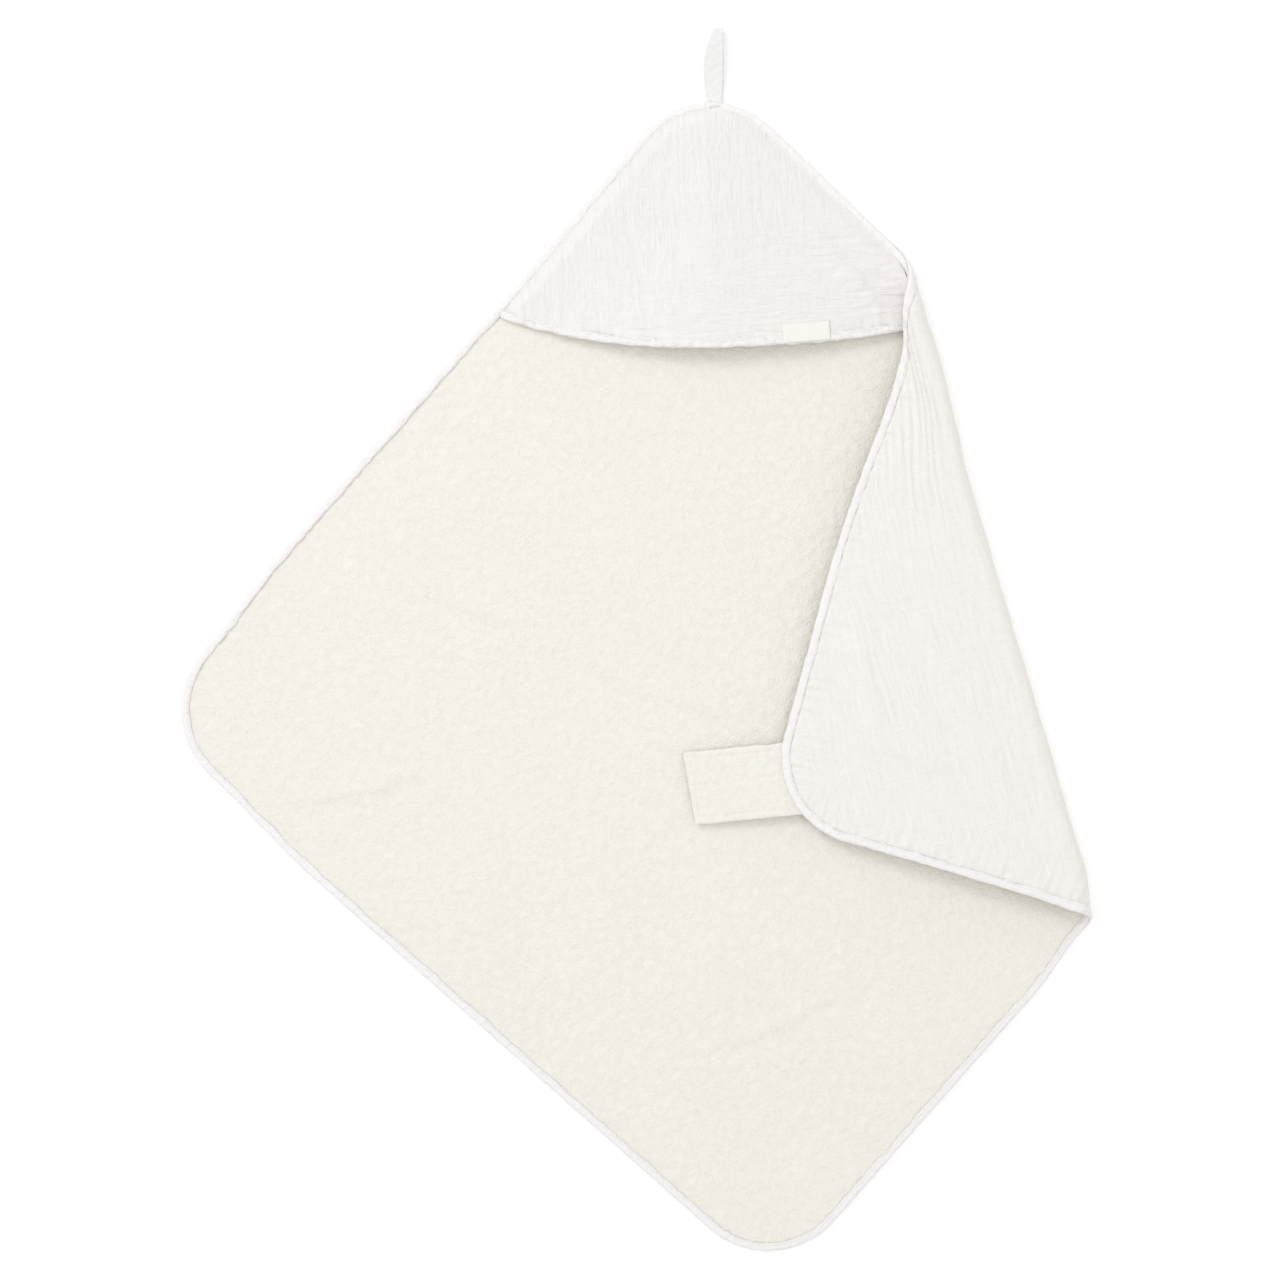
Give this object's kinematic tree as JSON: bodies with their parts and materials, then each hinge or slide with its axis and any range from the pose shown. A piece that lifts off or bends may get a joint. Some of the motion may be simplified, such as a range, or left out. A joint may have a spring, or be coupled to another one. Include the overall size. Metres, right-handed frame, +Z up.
{
  "type": "hooded baby towel",
  "caption": "Square terry towel with a muslin back, a corner hood, a hanging loop and a closing strap, laid flat with one corner folded over.",
  "frame": {"origin": "centre of the square towel, on the underside of its muslin back", "axes": "+Y from the centre to the tip of the hood, +Z up out of the terry face, +X to the side whose corner is folded over"},
  "size_m": [0.8579, 1.1334, 0.0283],
  "materials": {
    "muslin": "matte",
    "terry": "matte",
    "binding": "matte",
    "thread": "satin",
    "label": "satin",
    "loop_tape": "matte",
    "hook_tape": "matte"
  },
  "bodies": {
    "towel": {"muslin_back": "muslin", "terry_face": "terry", "edge_binding": "binding", "binding_stitching": "thread", "hood_lining": "terry", "hood_muslin": "muslin", "hem_binding": "binding", "hem_stitching": "thread", "hem_label": "label", "loop_root": "loop_tape", "loop_bartack": "thread"},
    "folded_corner": {"corner_muslin": "muslin", "corner_terry": "terry", "corner_binding": "binding", "corner_stitching": "thread", "strap_root": "terry", "strap_stitching": "thread"},
    "strap": {"closing_strap": "terry", "hook_patch": "hook_tape"},
    "loop": {"hanging_loop": "loop_tape"}
  },
  "joints": [
    {"name": "corner_fold", "type": "hinge", "parent": "towel", "child": "folded_corner", "pos_m": [0.25455, 0.07103, 0.01425], "axis": [-0.227, 0.9739, 0], "range_deg": [0, 182.02]},
    {"name": "strap_swing", "type": "hinge", "parent": "folded_corner", "child": "strap", "pos_m": [0.02971, -0.09394, 0.01367], "axis": [0.0392, -0.9992, -0.0067], "range_deg": [-120, 0]},
    {"name": "loop_swing", "type": "hinge", "parent": "towel", "child": "loop", "pos_m": [0, 0.53652, 0.003], "axis": [1, 0, 0], "range_deg": [0, 100]}
  ]
}
